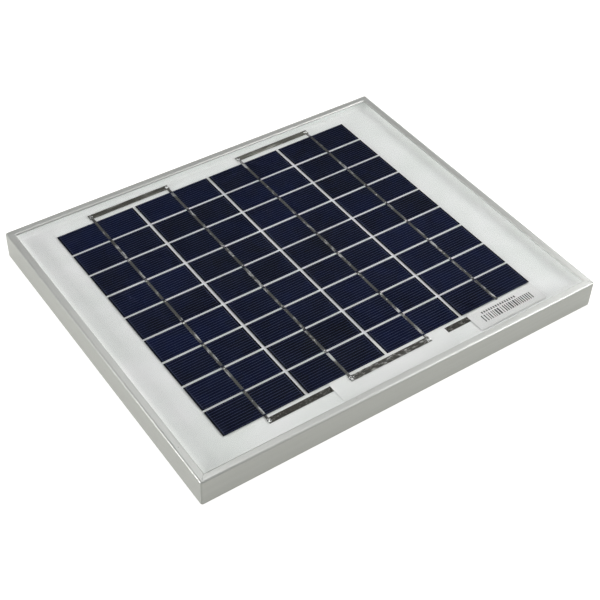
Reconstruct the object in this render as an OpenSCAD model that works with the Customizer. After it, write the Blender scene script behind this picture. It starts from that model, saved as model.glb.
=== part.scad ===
// Small framed photovoltaic panel: glass laminate in a mitred extruded frame, with a rear junction box.
// The origin is the centre of the frame's bottom face. +X runs along the long rails, +Y towards
// the far rail and +Z out through the glass. Everything is in millimetres.

/* [Frame] */
// Outer width of the frame along X
frame_w = 270; // [268:1:290]
// Outer length of the frame along Y
frame_l = 226; // [226:1:250]
// Overall height of the frame
frame_h = 18; // [18:0.5:22]
// Radius of the frame's outer edges
edge_r = 0.9; // [0.5:0.1:1.2]
// Thickness of a rail's outer wall
rail_wall = 1.4; // [1.2:0.1:1.6]
// Width of the lip that covers the edge of the glass
lip_w = 5; // [4.5:0.5:6]
// Thickness of that lip
lip_t = 1.2; // [1:0.1:1.5]
// Width of the mounting flange along the bottom
flange_w = 18; // [17:0.5:18.5]
// Thickness of the mounting flange
flange_t = 1.3; // [1:0.1:1.6]
// Width of the hollow chamber beside the outer wall
chamber_w = 5.6; // [5:0.1:6]
// Thickness of the shelf under the laminate and of the chamber's inner wall
web_t = 1.2; // [1:0.1:1.4]
// Length of each leg of a corner key
key_leg = 30; // [20:1:40]

/* [Mounting holes] */
// Distance between the two holes of a long rail
hole_spacing_x = 180; // [120:5:200]
// Distance of a hole from the frame's outer face
hole_inset = 13; // [12.5:0.5:14]
// Radius of a mounting hole, which clears an M5 screw
hole_r = 2.75; // [2.25:0.25:3.25]

/* [Laminate] */
// Thickness of the front glass
glass_t = 3.2; // [3:0.1:3.4]
// Thickness of the clear film between the glass and the cells
front_film_t = 0.45; // [0.4:0.05:0.6]
// Thickness of the backsheet
backsheet_t = 0.3; // [0.2:0.05:0.4]
// Thickness of the seal above and below the laminate
seal_t = 0.3; // [0.2:0.05:0.4]
// Thickness of the seal between the laminate's edge and the rail
seal_side = 1; // [0.8:0.1:1.2]
// Width of the seal's two lips over the laminate
seal_lip = 2.2; // [1.5:0.1:2.5]

/* [Cells] */
// Number of cells in each string
rows = 9; // [8:1:9]
// Width of a cell along X
cell_w = 52; // [48:0.5:52]
// Length of a cell along Y
cell_l = 19.5; // [18:0.5:19.5]
// Thickness of a cell
cell_t = 0.2; // [0.15:0.05:0.2]
// Gap between neighbouring strings
string_gap = 1.8; // [1.5:0.1:2]
// Gap between neighbouring cells of a string
row_gap = 1.4; // [1:0.1:1.5]
// Offset of the cell block from the frame's centre along X
block_dx = -1.9; // [-2:0.1:2]
// Offset of the cell block from the frame's centre along Y
block_dy = 3.4; // [0:0.1:3.5]
// Small angle by which the cell block was laid up out of square, in degrees
block_skew = 0.44; // [0:0.02:0.5]

/* [Ribbons] */
// Width of the tabs soldered along each string
tab_w = 1.8; // [1.5:0.1:2]
// Thickness of a tab
tab_t = 0.15; // [0.1:0.05:0.15]
// Width of the cross ribbons between strings
bus_w = 4; // [3:0.5:4]
// Gap from the cells to the far cross ribbons
far_bus_gap = 3.6; // [2:0.1:4]
// Gap from the cells to the near cross ribbons
near_bus_gap = 2; // [1.6:0.1:2.5]
// Thickness of the exit ribbons
exit_t = 0.2; // [0.15:0.05:0.2]
// Distance of each exit ribbon's last stretch from the middle of the block
exit_x = 10; // [9:0.5:11]

/* [Insulation and label] */
// Width of the white insulating strip along X
strip_w = 80; // [70:1:84]
// Thickness of the insulating strip
strip_t = 0.15; // [0.1:0.05:0.15]
// Width of the code label
label_w = 50; // [40:1:54]
// Length of the code label along Y
label_l = 14.6; // [12:0.1:15]
// Thickness of the labels
label_t = 0.1; // [0.05:0.05:0.15]

/* [Junction box] */
// Width of the box along X
jbox_w = 60; // [56:1:64]
// Length of the box along Y
jbox_l = 44; // [42:1:46]
// Distance of the box's near wall from the frame's outer face
jbox_inset = 23; // [23:0.5:25]
// Thickness of the box's walls
jbox_wall = 1.8; // [1.6:0.1:2]
// Thickness of the box's floor against the backsheet
jbox_floor = 1.5; // [1.2:0.1:1.6]
// Thickness of the adhesive bead between box and backsheet
adhesive_t = 0.5; // [0.4:0.1:0.6]
// Height of the lid's outer face above the frame's bottom
lid_clear = 1.2; // [1:0.1:1.3]
// Thickness of the lid
lid_t = 1.5; // [1.4:0.1:1.6]
// Thickness of the pressed lid gasket
gasket_t = 0.5; // [0.4:0.1:0.5]
// Radius of the hinge pin
pin_r = 0.8; // [0.7:0.1:0.8]
// Running clearance round the hinge pin
pin_clear = 0.03; // [0.02:0.01:0.06]
// Radius of the hinge knuckles
knuckle_r = 1.7; // [1.6:0.05:1.7]
// Radius of the cable inlet's bore
inlet_r = 2; // [1.8:0.1:2.2]

/* [Hidden] */
$fn = 48;
eps = 0.01;

// Heights of the layers, from the lip down
lip_bottom = frame_h - lip_t;
glass_top = lip_bottom - seal_t;
glass_bottom = glass_top - glass_t;
cell_top = glass_bottom - front_film_t;
cell_bottom = cell_top - cell_t;
back_tab_bottom = cell_bottom - tab_t;
strip_bottom = back_tab_bottom - strip_t;
exit_bottom = strip_bottom - exit_t;
film_under = 0.1;
film_bottom = exit_bottom - film_under;
sheet_bottom = film_bottom - backsheet_t;
shelf_top = sheet_bottom - seal_t;
shelf_bottom = shelf_top - web_t;

// Plan sizes of the frame's inside and of the laminate
chamber_in = rail_wall + chamber_w;
shelf_w = chamber_in + web_t;
laminate_inset = rail_wall + seal_side;
key_play = 0.1;

// Cell block
strings = 4;
string_pitch = cell_w + string_gap;
row_pitch = cell_l + row_gap;
block_l = rows * row_pitch - row_gap;
link_web = 0.3;
tab_front_inset = 1;
tab_back_inset = 1.5;
bus_margin = 0.4;
near_reach = near_bus_gap + bus_w - bus_margin;
far_reach = far_bus_gap + bus_w - bus_margin;
bus_over = 1.3;
bus_len = string_pitch + 2 * bus_over;
bus_t = cell_t;
solder_r = 1.2;
solder_t = 0.1;
solder_pad_r = tab_w / 3;

// Exit ribbons: where they turn down through the backsheet, and where they land in the box
exit_under = 10;
exit_drop_y = -block_l / 2 + exit_under;
exit_foot = 10;
slit_gap = 1;
slit_len = bus_w + slit_gap;
slit_over = 1;

// How far the insulating strip reaches under the cells and under the lip, and the code label's place
strip_under = 13;
strip_tuck = 1;
strip_near = -frame_l / 2 - block_dy + lip_w + strip_tuck;
strip_far = -block_l / 2 + strip_under;
label_gap = 0.8;

// Junction box
jbox_x = block_dx;
jbox_near = -frame_l / 2 + jbox_inset;
jbox_y = jbox_near + jbox_l / 2;
jbox_r = 3;
jbox_top = sheet_bottom - adhesive_t;
jbox_ceiling = jbox_top - jbox_floor;
jbox_rim = lid_clear + lid_t + gasket_t;
lid_top = lid_clear + lid_t;
window_w = 30;
window_l = 9;
window_margin = 1.5;
window_y = jbox_near + jbox_wall + window_margin + window_l / 2;
adhesive_clear = 2;
hinge_gap = 0.1;
hinge_lift = 0.2;
hinge_arm = 2;
hinge_y = jbox_near - knuckle_r - hinge_gap;
hinge_z = lid_top + hinge_lift;
knuckle_len = 12;
lid_knuckle_len = 15.6;
knuckle_gap = 0.2;
pin_over = 0.2;
finger_w = 7;
finger_h = 4;
finger_t = 1.2;
finger_x = 18;
finger_gap = 0.1;
rib_t = 1;
rib_h = 1.4;
rib_gap = 0.3;
gasket_w = 1.2;

// Terminals inside the box
terminal_w = 8;
terminal_l = 18;
terminal_t = 1.2;
terminal_x = 12;
terminal_set = 25;
terminal_y = jbox_near + terminal_set;
terminal_pad = 0.55;
terminal_top = jbox_ceiling - terminal_pad;
terminal_bottom = terminal_top - terminal_t;
screw_r = 1.2;
screw_clear = 0.05;
screw_head_r = 2.4;
screw_head_t = 1.6;
screw_shift = 5;
screw_y = terminal_y + screw_shift;
screw_hole = 3;
screw_play = 0.2;
slot_len = 3.2;
slot_w = 0.7;
slot_depth = 0.8;
diode_r = 1.35;
diode_len = 5.2;
lead_r = 0.4;
lead_x = 13;
diode_shift = 1.5;
diode_y = terminal_y - diode_shift;

// Cable grommet in the box's far wall
grommet_r = 2.8;
grommet_in_r = 3.2;
grommet_out_r = 3.7;
grommet_in = 1;
grommet_out = 2.2;
inlet_z = (jbox_ceiling + jbox_rim) / 2;
rib_notch = 2 * grommet_in_r + 1;

// Rating label on the back
rating_w = 70;
rating_l = 42;
rating_x = 0;
rating_y = 40;

// A block centred on the Z axis with rounded upright edges
module rounded_block(w, l, r, z0, z1) {
    translate([-w / 2 + r, -l / 2, z0]) cube([w - 2 * r, l, z1 - z0]);
    translate([-w / 2, -l / 2 + r, z0]) cube([w, l - 2 * r, z1 - z0]);
    for (x = [-1, 1], y = [-1, 1])
        translate([x * (w / 2 - r), y * (l / 2 - r), z0]) cylinder(r = r, h = z1 - z0);
}

module block(w, l, z0, z1) translate([-w / 2, -l / 2, z0]) cube([w, l, z1 - z0]);

// Places its children in the cell block's own frame
module in_block() translate([block_dx, block_dy, 0]) rotate(block_skew) children();

// ---------- Frame ----------

// Section of a rail: x is the distance in from the outer face, y is the height
module rail_section() {
    intersection() {
        union() {
            translate([edge_r, 0]) square([flange_w, frame_h]);
            translate([0, edge_r]) square([2 * edge_r, frame_h - 2 * edge_r]);
            for (z = [edge_r, frame_h - edge_r]) translate([edge_r, z]) circle(edge_r);
        }
        union() {
            square([rail_wall, frame_h]);
            translate([0, lip_bottom]) square([lip_w, lip_t]);
            translate([0, shelf_bottom]) square([shelf_w, web_t]);
            translate([chamber_in, 0]) square([web_t, shelf_top]);
            square([flange_w, flange_t]);
        }
    }
}

// A rail along X at the near side, before it is turned into place, with mitred ends
module rail(length, offset, holes) {
    difference() {
        intersection() {
            translate([-length / 2, -offset, 0]) rotate([90, 0, 90]) linear_extrude(length) rail_section();
            linear_extrude(frame_h) polygon([
                [-length / 2, -offset], [length / 2, -offset],
                [length / 2 - flange_w, -offset + flange_w], [-length / 2 + flange_w, -offset + flange_w]
            ]);
            corner_rounding(length, 2 * offset);
        }
        if (holes)
            for (x = [-1, 1])
                translate([x * hole_spacing_x / 2, -offset + hole_inset, -eps])
                    cylinder(r = hole_r, h = flange_t + 2 * eps);
    }
}

module corner_rounding(w, l) rounded_block(w, l, edge_r, 0, frame_h);

module rail_near() color("silver") rail(frame_w, frame_l / 2, true);
module rail_far() color("silver") rotate(180) rail(frame_w, frame_l / 2, true);
module rail_left() color("silver") rotate(-90) rail(frame_l, frame_w / 2, false);
module rail_right() color("silver") rotate(90) rail(frame_l, frame_w / 2, false);

// An L-shaped key that fills the chambers of two rails round a corner
module corner_key(sx, sy) {
    height = shelf_bottom - flange_t - 2 * key_play;
    color("gray")
        translate([sx * (frame_w / 2 - rail_wall), sy * (frame_l / 2 - rail_wall), flange_t + key_play])
        for (leg = [[key_leg, chamber_w], [chamber_w, key_leg]])
            translate([sx > 0 ? -leg[0] : 0, sy > 0 ? -leg[1] : 0, 0]) cube([leg[0], leg[1], height]);
}

// ---------- Laminate ----------

module laminate_layer(z0, z1) block(frame_w - 2 * laminate_inset, frame_l - 2 * laminate_inset, z0, z1);

module edge_seal() color("whitesmoke") difference() {
    block(frame_w - 2 * rail_wall, frame_l - 2 * rail_wall, shelf_top, lip_bottom);
    laminate_layer(sheet_bottom, glass_top);
    block(frame_w - 2 * (laminate_inset + seal_lip), frame_l - 2 * (laminate_inset + seal_lip), 0, frame_h);
}

module front_glass() color("lightblue", 0.3) laminate_layer(glass_bottom, glass_top);

// The children and a copy of them a hair away, to cut pockets that open cleanly at a face
module pocket(dz) {
    children();
    translate([0, 0, dz]) children();
}

module front_encapsulant() color("white", 0.3) difference() {
    laminate_layer(cell_bottom, glass_bottom);
    for (s = [1 : strings]) {
        pocket(-eps) cell_string(s);
        pocket(-eps) tab_string(s);
    }
    pocket(-eps) far_bus(1);
    pocket(-eps) far_bus(3);
    pocket(-eps) near_bus();
    solder_joints();
    pocket(-eps) code_label();
}

module rear_encapsulant() color("white", 0.3) difference() {
    laminate_layer(film_bottom, cell_bottom);
    for (s = [1 : strings]) pocket(eps) tab_string(s);
    insulation_strip();
    solder_joints();
    for (side = [-1, 1]) {
        exit_ribbon(side);
        ribbon_slit(side);
    }
}

module backsheet() color("white") difference() {
    laminate_layer(sheet_bottom, film_bottom);
    for (side = [-1, 1]) ribbon_slit(side);
}

// The cut through the rear layers where an exit ribbon drops into the box
module ribbon_slit(side)
    in_block() translate([side * exit_x - slit_len / 2, exit_drop_y - slit_gap / 2, sheet_bottom - slit_over])
        cube([slit_len, slit_gap, strip_bottom - sheet_bottom + slit_over]);

// ---------- Cells and ribbons ----------

function string_x(s) = (s - (strings + 1) / 2) * string_pitch;
function row_y(j) = (j - (rows - 1) / 2) * row_pitch;

module cell_string(s) color("midnightblue") in_block()
    for (j = [0 : rows - 1])
        translate([string_x(s), row_y(j), 0]) block(cell_w, cell_l, cell_bottom, cell_top);

// Current flows towards +Y in odd strings and back in even ones, so even strings are mirrored
module along_flow(s) in_block() translate([string_x(s), 0, 0]) mirror([0, s % 2 == 0 ? 1 : 0, 0]) children();

module tab_piece(y0, y1, z0, z1) translate([-tab_w / 2, y0, z0]) cube([tab_w, y1 - y0, z1 - z0]);

// Each tab lies on the front of one cell, steps down in the gap and lies under the next cell
module tab_string(s) color("silver") along_flow(s) {
    front_start = -cell_l / 2 + tab_front_inset;
    back_end = cell_l / 2 - tab_back_inset;
    front_top = cell_top + tab_t;
    start_reach = s % 2 == 1 ? near_reach : far_reach;
    end_reach = s % 2 == 1 ? far_reach : near_reach;
    for (j = [0 : rows - 2]) {
        gap_y = row_y(j) + row_pitch / 2;
        tab_piece(row_y(j) + front_start, gap_y + link_web / 2, cell_top, front_top);
        tab_piece(gap_y - link_web / 2, gap_y + link_web / 2, back_tab_bottom, front_top);
        tab_piece(gap_y - link_web / 2, row_y(j + 1) + back_end, back_tab_bottom, cell_bottom);
    }
    tab_piece(row_y(0) - cell_l / 2 - start_reach, row_y(0) + back_end, back_tab_bottom, cell_bottom);
    last_edge = row_y(rows - 1) + cell_l / 2;
    if (s < strings) {
        tab_piece(row_y(rows - 1) + front_start, last_edge + end_reach, cell_top, front_top);
    } else {
        tab_piece(row_y(rows - 1) + front_start, last_edge + 2 * link_web, cell_top, front_top);
        tab_piece(last_edge + link_web, last_edge + 2 * link_web, strip_bottom, front_top);
        tab_piece(last_edge + link_web, last_edge + end_reach, strip_bottom, strip_bottom + tab_t);
    }
}

// A cross ribbon from string s to the next one, in the plane of the cells
module cross_ribbon(s, y0) in_block()
    translate([string_x(s) + string_pitch / 2 - bus_len / 2, y0, cell_bottom]) cube([bus_len, bus_w, bus_t]);

module far_bus(s) color("silver") cross_ribbon(s, block_l / 2 + far_bus_gap);
module near_bus() color("silver") cross_ribbon(2, -block_l / 2 - near_bus_gap - bus_w);

// From an outer string to the middle, back under the cells, down through the backsheet and to a terminal
module exit_ribbon(side) color("silver") in_block() mirror([side < 0 ? 1 : 0, 0, 0]) {
    start_x = string_x(strings) + tab_w / 2;
    run_y = -block_l / 2 - near_bus_gap - bus_w;
    foot_z = terminal_bottom - exit_t;
    translate([exit_x - bus_w / 2, run_y, exit_bottom]) {
        cube([start_x - exit_x + bus_w / 2, bus_w, exit_t]);
        cube([bus_w, exit_drop_y - run_y + exit_t / 2, exit_t]);
    }
    translate([exit_x - bus_w / 2, exit_drop_y - exit_t / 2, foot_z]) {
        cube([bus_w, exit_t, exit_bottom + exit_t - foot_z]);
        cube([bus_w, exit_foot, exit_t]);
    }
}

module solder_spot(x, y, z) translate([x, y, z]) cylinder(r = solder_r, h = solder_t);

// Drops of solder where the tabs meet the cross ribbons and the exit ribbons
module solder_joints() color("gainsboro") in_block() {
    far_y = block_l / 2 + far_bus_gap + bus_w / 2;
    near_y = -block_l / 2 - near_bus_gap - bus_w / 2;
    for (s = [1 : strings]) solder_spot(string_x(s), far_y, s % 2 == 1 ? cell_top + tab_t : cell_top);
    solder_spot(string_x(2), near_y, cell_top + tab_t);
    solder_spot(string_x(3), near_y, cell_top);
    translate([string_x(1), near_y, strip_bottom]) cylinder(r = solder_pad_r, h = strip_t);
    solder_spot(string_x(4), near_y, strip_bottom + tab_t);
}

module insulation_strip() color("white") in_block()
    translate([-strip_w / 2, strip_near, strip_bottom]) cube([strip_w, strip_far - strip_near, strip_t]);

module code_label() color("white") in_block()
    translate([string_x(strings) + cell_w / 2 - label_w, -block_l / 2 - label_gap - label_l, cell_bottom])
        cube([label_w, label_l, label_t]);

module rating_label() color("gainsboro")
    translate([rating_x - rating_w / 2, rating_y - rating_l / 2, sheet_bottom - label_t])
        cube([rating_w, rating_l, label_t]);

// ---------- Junction box ----------

module at_jbox() translate([jbox_x, jbox_y, 0]) children();

module jbox_adhesive() color("white") at_jbox() difference() {
    rounded_block(jbox_w, jbox_l, jbox_r, jbox_top, sheet_bottom);
    translate([0, window_y - jbox_y, 0]) block(window_w + 2 * adhesive_clear, window_l, 0, frame_h);
}

module knuckle(x, length) translate([x, hinge_y, hinge_z]) rotate([0, 90, 0])
    cylinder(r = knuckle_r, h = length);

module pin_bore() translate([jbox_x - jbox_w / 2, hinge_y, hinge_z]) rotate([0, 90, 0])
    cylinder(r = pin_r + pin_clear, h = jbox_w);

module jbox_base() color("dimgray") difference() {
    union() {
        difference() {
            at_jbox() rounded_block(jbox_w, jbox_l, jbox_r, jbox_rim, jbox_top);
            at_jbox() rounded_block(
                jbox_w - 2 * jbox_wall, jbox_l - 2 * jbox_wall, jbox_r - jbox_wall, 0, jbox_ceiling);
            translate([jbox_x, window_y, 0]) block(window_w, window_l, 0, frame_h);
        }
        for (side = [-1, 1]) {
            translate([jbox_x + side * terminal_x, terminal_y, 0])
                block(terminal_w, terminal_l, terminal_top, jbox_ceiling + eps);
            hinge_start = side > 0 ? lid_knuckle_len / 2 + knuckle_gap
                                   : -lid_knuckle_len / 2 - knuckle_gap - knuckle_len;
            knuckle(jbox_x + hinge_start, knuckle_len);
            translate([jbox_x + hinge_start, hinge_y, hinge_z])
                cube([knuckle_len, jbox_near - hinge_y + eps, knuckle_r + hinge_arm]);
        }
    }
    pin_bore();
    translate([jbox_x, jbox_near + jbox_l - jbox_wall - eps, inlet_z]) rotate([-90, 0, 0])
        cylinder(r = grommet_r, h = jbox_wall + 2 * eps);
    for (side = [-1, 1])
        translate([jbox_x + side * terminal_x, screw_y, terminal_bottom])
            cylinder(r = screw_r + screw_clear, h = screw_hole);
}

module jbox_gasket() color("black") at_jbox() difference() {
    inset = (jbox_wall - gasket_w) / 2;
    rounded_block(jbox_w - 2 * inset, jbox_l - 2 * inset, jbox_r - inset, lid_top, jbox_rim);
    rounded_block(
        jbox_w - 2 * (inset + gasket_w), jbox_l - 2 * (inset + gasket_w), jbox_r - inset - gasket_w,
        0, frame_h);
}

module jbox_lid() color("dimgray") difference() {
    rib_out = jbox_wall + rib_gap;
    union() {
        at_jbox() rounded_block(jbox_w, jbox_l, jbox_r, lid_clear, lid_top);
        at_jbox() difference() {
            rounded_block(
                jbox_w - 2 * rib_out, jbox_l - 2 * rib_out, jbox_r - rib_out, lid_top - eps, lid_top + rib_h);
            block(jbox_w - 2 * (rib_out + rib_t), jbox_l - 2 * (rib_out + rib_t), 0, frame_h);
            translate([0, jbox_l / 2 - rib_out, 0]) block(rib_notch, 3 * rib_t, 0, frame_h);
        }
        knuckle(jbox_x - lid_knuckle_len / 2, lid_knuckle_len);
        translate([jbox_x - lid_knuckle_len / 2, hinge_y, hinge_z - knuckle_r])
            cube([lid_knuckle_len, jbox_near - hinge_y + eps, lid_top - hinge_z + knuckle_r]);
        for (side = [-1, 1])
            translate([jbox_x + side * finger_x - finger_w / 2, jbox_near + jbox_l, lid_clear]) {
                translate([0, -eps, 0]) cube([finger_w, finger_t + finger_gap + eps, lid_t]);
                translate([0, finger_gap, 0]) cube([finger_w, finger_t, lid_t + finger_h]);
            }
    }
    pin_bore();
}

module lid_hinge_pin() color("silver") {
    pin_len = lid_knuckle_len + 2 * (knuckle_gap + knuckle_len + pin_over);
    translate([jbox_x - pin_len / 2, hinge_y, hinge_z]) rotate([0, 90, 0]) cylinder(r = pin_r, h = pin_len);
}

module terminal(side) color("goldenrod") difference() {
    translate([jbox_x + side * terminal_x, terminal_y, 0])
        block(terminal_w, terminal_l, terminal_bottom, terminal_top);
    translate([jbox_x + side * terminal_x, screw_y, terminal_bottom - eps])
        cylinder(r = screw_r + screw_clear, h = terminal_t + 2 * eps);
}

module terminal_screws() color("silver")
    for (side = [-1, 1])
        translate([jbox_x + side * terminal_x, screw_y, terminal_bottom]) {
            cylinder(r = screw_r, h = screw_hole - screw_play);
            difference() {
                translate([0, 0, -screw_head_t]) cylinder(r = screw_head_r, h = screw_head_t);
                for (turn = [0, 90])
                    rotate(turn) block(slot_len, slot_w, -screw_head_t - eps, -screw_head_t + slot_depth);
            }
        }

module bypass_diode() color("black")
    translate([jbox_x, diode_y, terminal_bottom - lead_r]) rotate([0, 90, 0]) {
        translate([0, 0, -diode_len / 2]) cylinder(r = diode_r, h = diode_len);
        translate([0, 0, -lead_x]) cylinder(r = lead_r, h = 2 * lead_x);
    }

module cable_grommet() color("black")
    translate([jbox_x, jbox_near + jbox_l - jbox_wall, inlet_z]) rotate([-90, 0, 0]) difference() {
        union() {
            translate([0, 0, -grommet_in]) cylinder(r = grommet_in_r, h = grommet_in);
            cylinder(r = grommet_r, h = jbox_wall);
            translate([0, 0, jbox_wall]) cylinder(r1 = grommet_out_r, r2 = grommet_in_r, h = grommet_out);
        }
        translate([0, 0, -grommet_in - eps])
            cylinder(r = inlet_r, h = grommet_in + jbox_wall + grommet_out + 2 * eps);
    }

// ---------- Drawing ----------

rail_near();
rail_far();
rail_left();
rail_right();
corner_key(-1, -1);  // corner_key_near_left
corner_key(1, -1);  // corner_key_near_right
corner_key(-1, 1);  // corner_key_far_left
corner_key(1, 1);  // corner_key_far_right
edge_seal();
front_glass();
front_encapsulant();
cell_string(1);  // cell_string_1
cell_string(2);  // cell_string_2
cell_string(3);  // cell_string_3
cell_string(4);  // cell_string_4
tab_string(1);  // tab_string_1
tab_string(2);  // tab_string_2
tab_string(3);  // tab_string_3
tab_string(4);  // tab_string_4
far_bus(1);  // far_bus_left
far_bus(3);  // far_bus_right
near_bus();
exit_ribbon(-1);  // exit_ribbon_left
exit_ribbon(1);  // exit_ribbon_right
solder_joints();
insulation_strip();
code_label();
rear_encapsulant();
backsheet();
rating_label();
jbox_adhesive();
jbox_base();
jbox_gasket();
jbox_lid();
lid_hinge_pin();
terminal(-1);  // terminal_left
terminal(1);  // terminal_right
terminal_screws();
bypass_diode();
cable_grommet();
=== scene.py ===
import random
from math import atan2, cos, pi, radians, sin, tan

import bmesh
import bpy
from mathutils import Matrix, Quaternion, Vector


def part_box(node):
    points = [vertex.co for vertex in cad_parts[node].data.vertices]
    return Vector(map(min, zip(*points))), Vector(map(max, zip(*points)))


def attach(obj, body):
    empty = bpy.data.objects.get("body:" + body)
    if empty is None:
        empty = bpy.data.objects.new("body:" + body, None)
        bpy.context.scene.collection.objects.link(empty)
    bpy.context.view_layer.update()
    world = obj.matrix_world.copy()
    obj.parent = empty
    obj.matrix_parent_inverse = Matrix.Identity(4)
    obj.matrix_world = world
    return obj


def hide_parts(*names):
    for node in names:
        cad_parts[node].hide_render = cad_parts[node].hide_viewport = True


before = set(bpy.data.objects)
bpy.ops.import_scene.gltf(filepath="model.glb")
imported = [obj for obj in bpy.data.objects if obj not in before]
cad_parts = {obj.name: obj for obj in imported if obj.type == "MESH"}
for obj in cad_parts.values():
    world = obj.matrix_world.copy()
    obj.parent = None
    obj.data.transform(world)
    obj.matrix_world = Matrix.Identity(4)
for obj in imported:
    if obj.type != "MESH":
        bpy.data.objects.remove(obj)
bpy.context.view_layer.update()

MM = 0.001
SHARP = 35  # degrees between faces from which an edge is drawn sharp
rng = random.Random(36)


# ---------------------------------------------------------------- places taken from the CAD model

def node_box(name):
    """Lowest and highest corner of a CAD node, in millimetres."""
    low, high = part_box(name)
    return low / MM, high / MM


STRINGS = [f"cell_string_{i}" for i in range(1, 5)]
ROWS = 9
SKEW = radians(0.44)  # turn of the block of cells in the frame

cells_low = [min(node_box(s)[0][k] for s in STRINGS) for k in range(3)]
cells_high = [max(node_box(s)[1][k] for s in STRINGS) for k in range(3)]
BLOCK_X = (cells_low[0] + cells_high[0]) / 2
BLOCK_Y = (cells_low[1] + cells_high[1]) / 2
CELL_BOTTOM, CELL_TOP = cells_low[2], cells_high[2]
CELL_W, CELL_L = 52.0, 19.5
STRING_PITCH, ROW_PITCH = 53.8, 20.9
BLOCK_W = (len(STRINGS) - 1) * STRING_PITCH + CELL_W
BLOCK_L = (ROWS - 1) * ROW_PITCH + CELL_L
TAB_W, TAB_T = 1.8, 0.15
TAB_TOP = CELL_TOP + TAB_T
BUS_W = 4.0
FAR_GAP, NEAR_GAP = 3.6, 2.0  # between the cells and the cross ribbons

BLOCK = Matrix.Translation((BLOCK_X * MM, BLOCK_Y * MM, 0)) @ Matrix.Rotation(SKEW, 4, "Z")

FRAME_W = node_box("rail_right")[1].x - node_box("rail_left")[0].x
FRAME_L = node_box("rail_far")[1].y - node_box("rail_near")[0].y
FRAME_H = node_box("rail_near")[1].z
LIP_W = 5.0
GLASS_LOW, GLASS_HIGH = node_box("front_glass")
SHEET_LOW, SHEET_HIGH = node_box("backsheet")


def string_x(index):
    """Middle of a string, in the block's own axes."""
    return (index - (len(STRINGS) - 1) / 2) * STRING_PITCH


def row_y(index):
    """Middle of a row, in the block's own axes."""
    return (index - (ROWS - 1) / 2) * ROW_PITCH


# ---------------------------------------------------------------- node and mesh helpers

def add_node(tree, kind, inputs=None, **props):
    """A shader node; an input is linked where its value is a socket, and set where it isn't."""
    made = tree.nodes.new(kind)
    for key, value in props.items():
        setattr(made, key, value)
    for key, value in (inputs or {}).items():
        if isinstance(value, bpy.types.NodeSocket):
            tree.links.new(value, made.inputs[key])
        else:
            made.inputs[key].default_value = value
    return made


def maths(tree, operation, a, b=0.0):
    return add_node(tree, "ShaderNodeMath", {0: a, 1: b}, operation=operation).outputs[0]


def weighted(tree, *parts):
    """Sum of values, each given with its weight."""
    total = None
    for value, weight in parts:
        part = maths(tree, "MULTIPLY", value, weight)
        total = part if total is None else maths(tree, "ADD", total, part)
    return total


def remap(tree, value, low, high, to_low, to_high):
    return add_node(tree, "ShaderNodeMapRange", {
        "Value": value, "From Min": low, "From Max": high, "To Min": to_low, "To Max": to_high,
    }).outputs[0]


def spread(tree, value, low, high):
    """Spreads the usual range of a noise, about 0.3 to 0.7, over low to high."""
    return remap(tree, value, 0.3, 0.7, low, high)


def blend(tree, factor, a, b):
    """The colour a where the factor is 0, and b where it is 1."""
    mix = tree.nodes.new("ShaderNodeMix")
    mix.data_type = "RGBA"
    for socket, value in ((mix.inputs[0], factor), (mix.inputs[6], a), (mix.inputs[7], b)):
        if isinstance(value, bpy.types.NodeSocket):
            tree.links.new(value, socket)
        else:
            socket.default_value = value
    return mix.outputs[2]


def noise(tree, vector, scale, detail=3.0, rough=0.55):
    return add_node(tree, "ShaderNodeTexNoise", {
        "Vector": vector, "Scale": scale, "Detail": detail, "Roughness": rough}).outputs[0]


def place(tree, stretch=(1, 1, 1)):
    """Object coordinates, stretched along an axis by a factor below 1."""
    coords = add_node(tree, "ShaderNodeTexCoord").outputs["Object"]
    return add_node(tree, "ShaderNodeMapping", {"Vector": coords, "Scale": stretch}).outputs[0]


def axes(tree, output_name):
    """The x, y and z sockets of a texture coordinate."""
    coords = add_node(tree, "ShaderNodeTexCoord").outputs[output_name]
    return add_node(tree, "ShaderNodeSeparateXYZ", {0: coords}).outputs


def off_centre(tree, value, centre_mm):
    """Distance from a centre along one axis, in metres."""
    return maths(tree, "ABSOLUTE", maths(tree, "SUBTRACT", value, centre_mm * MM))


def new_material(name):
    mat = bpy.data.materials.new(name)
    mat.use_nodes = True
    mat.node_tree.nodes.clear()
    return mat, mat.node_tree


def output(tree, shader):
    tree.links.new(shader, tree.nodes.new("ShaderNodeOutputMaterial").inputs["Surface"])


def rgb(r, g, b):
    return (r, g, b, 1.0)


def principled(tree, **inputs):
    names = {key.replace("_", " "): value for key, value in inputs.items()}
    return add_node(tree, "ShaderNodeBsdfPrincipled", names).outputs[0]


def bump(tree, height, strength, depth_mm):
    return add_node(tree, "ShaderNodeBump", {
        "Height": height, "Strength": strength, "Distance": depth_mm * MM}).outputs[0]


def shade(obj):
    """Smooth shading with sharp edges where faces meet at more than SHARP degrees."""
    obj.data.shade_smooth()
    obj.data.set_sharp_from_angle(angle=radians(SHARP))


def make(name, bm, materials, body, slot, *nodes):
    """Turns a mesh in millimetres into a piece that rides on a body and stands for CAD nodes."""
    mesh = bpy.data.meshes.new(name)
    bmesh.ops.scale(bm, vec=(MM, MM, MM), verts=bm.verts)
    bm.normal_update()
    bm.to_mesh(mesh)
    bm.free()
    for mat in materials:
        mesh.materials.append(mat)
    obj = bpy.data.objects.new(name, mesh)
    bpy.context.scene.collection.objects.link(obj)
    shade(obj)
    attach(obj, body)
    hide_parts(*nodes)
    return obj


def apply_modifiers(obj):
    """Puts the evaluated mesh in place of the object's own and drops its modifiers."""
    graph = bpy.context.evaluated_depsgraph_get()
    old = obj.data
    obj.data = bpy.data.meshes.new_from_object(obj.evaluated_get(graph), depsgraph=graph)
    obj.modifiers.clear()
    bpy.data.meshes.remove(old)


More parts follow.
